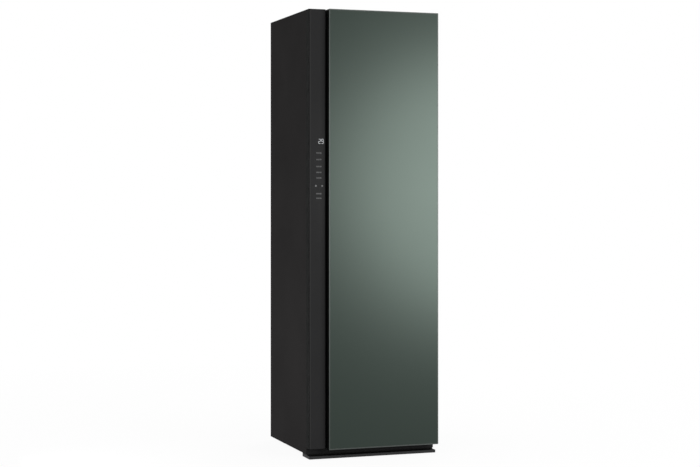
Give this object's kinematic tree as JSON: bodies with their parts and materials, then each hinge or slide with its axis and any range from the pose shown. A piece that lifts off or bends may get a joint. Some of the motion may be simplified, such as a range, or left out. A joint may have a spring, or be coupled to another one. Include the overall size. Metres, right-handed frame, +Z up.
{
  "type": "clothes care steam cabinet",
  "caption": "Tall clothes care steam cabinet: dark steel body, fixed black control column, side-hinged green mirror glass door, steam chamber with moving hanger rail.",
  "frame": {"origin": "centre of the footprint on the floor", "axes": "+X to the right seen from the front, the front faces -Y, +Z up"},
  "size_m": [0.596, 0.616, 1.96],
  "materials": {
    "steel_paint": "satin dark brown-black paint",
    "column_gloss": "dark satin panel",
    "black_plastic": "matte black moulding",
    "green_glass": "green mirror glass",
    "edge_metal": "satin grey anodised",
    "plinth_grey": "matte grey",
    "kick_dark": "matte near black",
    "zinc_steel": "zinc plated",
    "pale_liner": "satin off-white",
    "grey_plastic": "fine textured grey",
    "black_rubber": "matte black",
    "pad_cloth": "heat-proof felt",
    "bare_aluminium": "mill finish",
    "lamp_white": "milk white lens",
    "tank_clear": "smoky translucent",
    "board_green": "solder mask",
    "cast_black": "black enamel",
    "drive_black": "black moulding"
  },
  "bodies": {
    "cabinet": {"left_side_panel": "steel_paint", "right_side_panel": "steel_paint", "back_panel": "steel_paint", "top_panel": "steel_paint", "base_pan": "zinc_steel", "toe_kick": "kick_dark", "base_plate": "plinth_grey", "front_frame": "grey_plastic", "chamber_liner": "pale_liner", "chamber_back": "pale_liner", "ceiling_cover": "grey_plastic", "chamber_lamp": "lamp_white", "left_shelf_rail": "grey_plastic", "right_shelf_rail": "grey_plastic", "air_outlet_grille": "grey_plastic", "steam_nozzle": "grey_plastic", "tank_bay": "grey_plastic", "column_housing": "black_plastic", "column_panel": "column_gloss", "display_module": "board_green", "upper_hinge_bracket": "zinc_steel", "lower_hinge_bracket": "zinc_steel", "hanger_guide": "zinc_steel", "hanger_drive": "drive_black", "control_box": "black_plastic", "air_duct": "grey_plastic", "evaporator": "bare_aluminium", "condenser": "bare_aluminium", "fan_housing": "grey_plastic", "fan_motor": "zinc_steel", "compressor": "cast_black", "steam_generator": "zinc_steel", "feed_pump": "black_plastic", "drain_pump": "black_plastic", "cord_gland": "black_plastic"},
    "door": {"door_trim": "edge_metal", "door_glass": "green_glass", "door_shell": "steel_paint", "grip_wall": "black_plastic", "grip_channel": "black_plastic", "door_top_cap": "black_plastic", "door_bottom_cap": "black_plastic", "door_liner": "pale_liner", "door_gasket": "black_rubber", "press_board": "grey_plastic", "press_pad": "pad_cloth"},
    "press": {"press_panel": "grey_plastic"},
    "latch": {"press_latch": "black_plastic"},
    "hanger": {"hanger_rail": "bare_aluminium"},
    "fan": {"fan_wheel": "grey_plastic"},
    "filter": {"lint_filter": "grey_plastic"},
    "shelf": {"shelf_rack": "grey_plastic"},
    "supply": {"supply_tank": "tank_clear", "supply_tank_lid": "grey_plastic"},
    "drain": {"drain_tank": "tank_clear", "drain_tank_lid": "grey_plastic"},
    "foot_front_left": {"front_left_foot": "black_rubber"},
    "foot_front_right": {"front_right_foot": "black_rubber"},
    "foot_rear_left": {"rear_left_foot": "black_rubber"},
    "foot_rear_right": {"rear_right_foot": "black_rubber"}
  },
  "joints": [
    {"name": "door_hinge", "type": "hinge", "parent": "cabinet", "child": "door", "pos_m": [0.283, -0.2697, 0], "axis": [0, 0, 1], "range_deg": [0, 110]},
    {"name": "press_hinge", "type": "hinge", "parent": "door", "child": "press", "pos_m": [0.2009, -0.2431, 0.78], "axis": [0, 0, -1], "range_deg": [0, 90]},
    {"name": "press_latch_turn", "type": "hinge", "parent": "press", "child": "latch", "pos_m": [-0.12, -0.2285, 1.15], "axis": [0, 1, 0], "range_deg": [0, 90]},
    {"name": "hanger_slide", "type": "slide", "parent": "cabinet", "child": "hanger", "axis": [1, 0, 0], "range_m": [-0.022, 0.022]},
    {"name": "fan_spin", "type": "hinge", "parent": "cabinet", "child": "fan", "pos_m": [0, 0.14, 0.2377], "axis": [0, 1, 0], "continuous": true},
    {"name": "filter_lift", "type": "slide", "parent": "cabinet", "child": "filter", "axis": [0, 0, 1], "range_m": [0, 0.1]},
    {"name": "shelf_lift", "type": "slide", "parent": "cabinet", "child": "shelf", "axis": [0, 0, 1], "range_m": [0, 0.12]},
    {"name": "supply_tank_slide", "type": "slide", "parent": "cabinet", "child": "supply", "axis": [0, -1, 0], "range_m": [0, 0.011]},
    {"name": "drain_tank_slide", "type": "slide", "parent": "cabinet", "child": "drain", "axis": [0, -1, 0], "range_m": [0, 0.011]},
    {"name": "front_left_foot_turn", "type": "hinge", "parent": "cabinet", "child": "foot_front_left", "pos_m": [-0.248, -0.135, 0], "axis": [0, 0, 1], "continuous": true},
    {"name": "front_right_foot_turn", "type": "hinge", "parent": "cabinet", "child": "foot_front_right", "pos_m": [0.248, -0.135, 0], "axis": [0, 0, 1], "continuous": true},
    {"name": "rear_left_foot_turn", "type": "hinge", "parent": "cabinet", "child": "foot_rear_left", "pos_m": [-0.248, 0.196, 0], "axis": [0, 0, 1], "continuous": true},
    {"name": "rear_right_foot_turn", "type": "hinge", "parent": "cabinet", "child": "foot_rear_right", "pos_m": [0.248, 0.196, 0], "axis": [0, 0, 1], "continuous": true}
  ]
}
